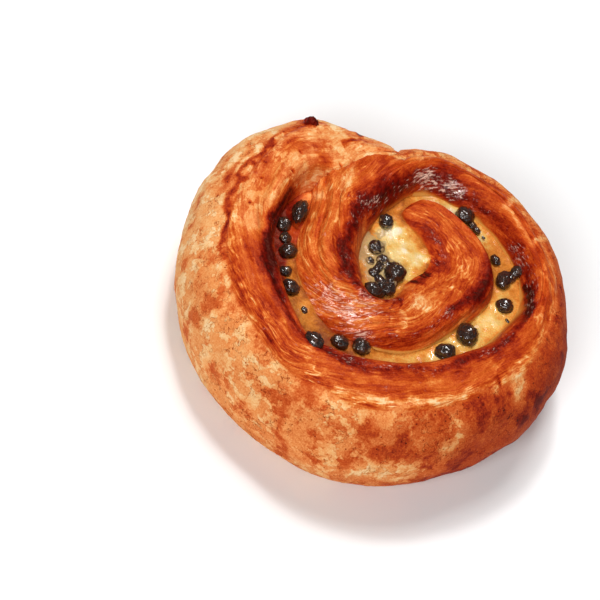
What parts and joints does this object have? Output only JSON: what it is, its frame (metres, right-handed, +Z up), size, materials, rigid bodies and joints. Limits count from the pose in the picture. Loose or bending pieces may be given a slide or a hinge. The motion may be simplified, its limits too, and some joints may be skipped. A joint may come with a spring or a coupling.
{
  "type": "chocolate brioche swirl",
  "caption": "Flat round spiral roll of laminated brioche with pastry cream between its turns and chocolate chips in the cream.",
  "frame": {"origin": "middle of the roll's box, on the surface that it rests on", "axes": "+Z up through the roll's cream side; the strip's outer end lies towards +Y, a little to -X of it"},
  "size_m": [0.11, 0.1088, 0.0388],
  "materials": {
    "dough": "glossy egg-washed golden to red-brown crust, matte and mottled on the outer wall",
    "cream": "baked pale yellow pastry cream with a soft gloss",
    "chocolate": "glossy near-black chocolate"
  },
  "bodies": {
    "root": {"dough": "dough", "cream": "cream", "chip_01": "chocolate", "chip_02": "chocolate", "chip_03": "chocolate", "chip_04": "chocolate", "chip_05": "chocolate", "chip_06": "chocolate", "chip_07": "chocolate", "chip_08": "chocolate", "chip_09": "chocolate", "chip_10": "chocolate", "chip_11": "chocolate", "chip_12": "chocolate", "chip_13": "chocolate", "chip_14": "chocolate", "chip_15": "chocolate", "chip_16": "chocolate", "chip_17": "chocolate", "chip_18": "chocolate", "chip_19": "chocolate", "chip_20": "chocolate", "chip_21": "chocolate", "chip_22": "chocolate", "chip_23": "chocolate", "chip_24": "chocolate", "chip_25": "chocolate", "chip_26": "chocolate"}
  },
  "joints": []
}
